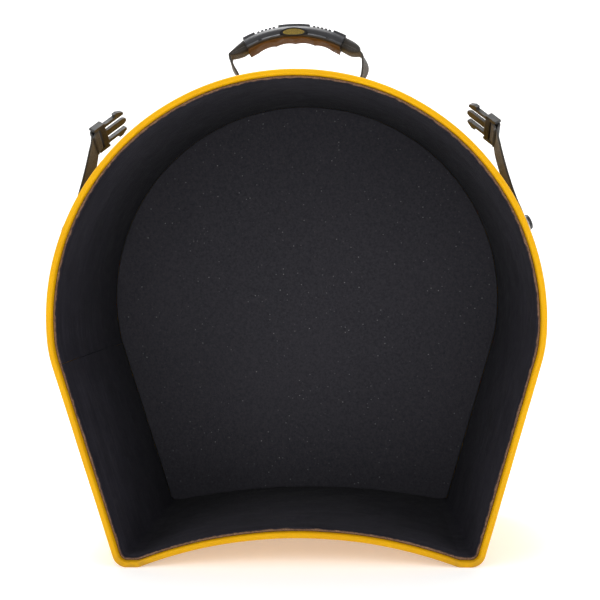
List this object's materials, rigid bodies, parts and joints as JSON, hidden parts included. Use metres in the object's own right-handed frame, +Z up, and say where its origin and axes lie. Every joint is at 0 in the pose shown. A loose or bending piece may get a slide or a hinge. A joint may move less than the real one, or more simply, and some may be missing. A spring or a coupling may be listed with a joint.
{
  "type": "hard case",
  "caption": "Deep half of a round hard case on moulded feet, with a foam lining, a webbing carry handle with a moulded grip, and riveted straps that end in buckle plugs.",
  "frame": {"origin": "centre of the bounding box at floor level", "axes": "+X to the right of the mouth, the mouth faces -Y, +Z up"},
  "size_m": [0.4598, 0.185, 0.5134],
  "materials": {
    "shell_plastic": "moulded, satin",
    "foam": "foam, matte",
    "foam_panel": "foam, matte",
    "grip_plastic": "moulded, satin",
    "badge": "plain",
    "webbing": "woven",
    "rivet": "black",
    "washer": "plain",
    "plug_plastic": "moulded"
  },
  "bodies": {
    "case": {"shell": "shell_plastic", "wall_lining": "foam", "back_lining": "foam_panel", "handle_rivets": "rivet", "handle_washers": "washer", "handle_backing_washers": "washer", "handle_tab_right": "webbing", "handle_tab_left": "webbing", "strap_rivets": "rivet", "strap_washers": "washer", "strap_backing_washers": "washer"},
    "handle": {"grip_upper": "grip_plastic", "grip_lower": "grip_plastic", "handle_core": "webbing", "grip_pins": "rivet", "grip_badge": "badge", "handle_sleeve_right": "webbing", "handle_sleeve_left": "webbing", "handle_leg_right": "webbing", "handle_leg_left": "webbing"},
    "strap_right": {"strap_webbing_right": "webbing"},
    "plug_right": {"plug_body_right": "plug_plastic"},
    "tine_front_right": {"plug_tine_front_right": "plug_plastic"},
    "tine_rear_right": {"plug_tine_rear_right": "plug_plastic"},
    "strap_left": {"strap_webbing_left": "webbing"},
    "plug_left": {"plug_body_left": "plug_plastic"},
    "tine_front_left": {"plug_tine_front_left": "plug_plastic"},
    "tine_rear_left": {"plug_tine_rear_left": "plug_plastic"}
  },
  "joints": [
    {"name": "handle_swing", "type": "hinge", "parent": "case", "child": "handle", "pos_m": [0, -0.0175, 0.45213], "axis": [1, 0, 0], "range_deg": [-45, 45], "deforming": ["handle_leg_right", "handle_leg_left"]},
    {"name": "strap_right_swing", "type": "hinge", "parent": "case", "child": "strap_right", "pos_m": [0.21285, -0.0605, 0.3118], "axis": [0.9307, 0.0275, 0.3647], "range_deg": [-20, 90]},
    {"name": "plug_right_tilt", "type": "hinge", "parent": "strap_right", "child": "plug_right", "pos_m": [0.19107, -0.05116, 0.40068], "axis": [0.01, 0.7228, -0.691], "range_deg": [-8, 60]},
    {"name": "tine_front_right_flex", "type": "hinge", "parent": "plug_right", "child": "tine_front_right", "pos_m": [0.18444, -0.05144, 0.41404], "axis": [-0.823, -0.3866, -0.4163], "range_deg": [0, 7], "stiffness_Nm_per_rad": 0.3},
    {"name": "tine_rear_right_flex", "type": "hinge", "parent": "plug_right", "child": "tine_rear_right", "pos_m": [0.18463, -0.03771, 0.40091], "axis": [0.823, 0.3866, 0.4163], "range_deg": [0, 7], "stiffness_Nm_per_rad": 0.3},
    {"name": "strap_left_swing", "type": "hinge", "parent": "case", "child": "strap_left", "pos_m": [-0.21285, -0.0605, 0.3118], "axis": [0.9307, -0.0275, -0.3647], "range_deg": [-20, 90]},
    {"name": "plug_left_tilt", "type": "hinge", "parent": "strap_left", "child": "plug_left", "pos_m": [-0.19107, -0.05116, 0.40068], "axis": [0.01, -0.7228, 0.691], "range_deg": [-8, 60]},
    {"name": "tine_front_left_flex", "type": "hinge", "parent": "plug_left", "child": "tine_front_left", "pos_m": [-0.18444, -0.05144, 0.41404], "axis": [-0.823, 0.3866, 0.4163], "range_deg": [0, 7], "stiffness_Nm_per_rad": 0.3},
    {"name": "tine_rear_left_flex", "type": "hinge", "parent": "plug_left", "child": "tine_rear_left", "pos_m": [-0.18463, -0.03771, 0.40091], "axis": [0.823, -0.3866, -0.4163], "range_deg": [0, 7], "stiffness_Nm_per_rad": 0.3}
  ]
}
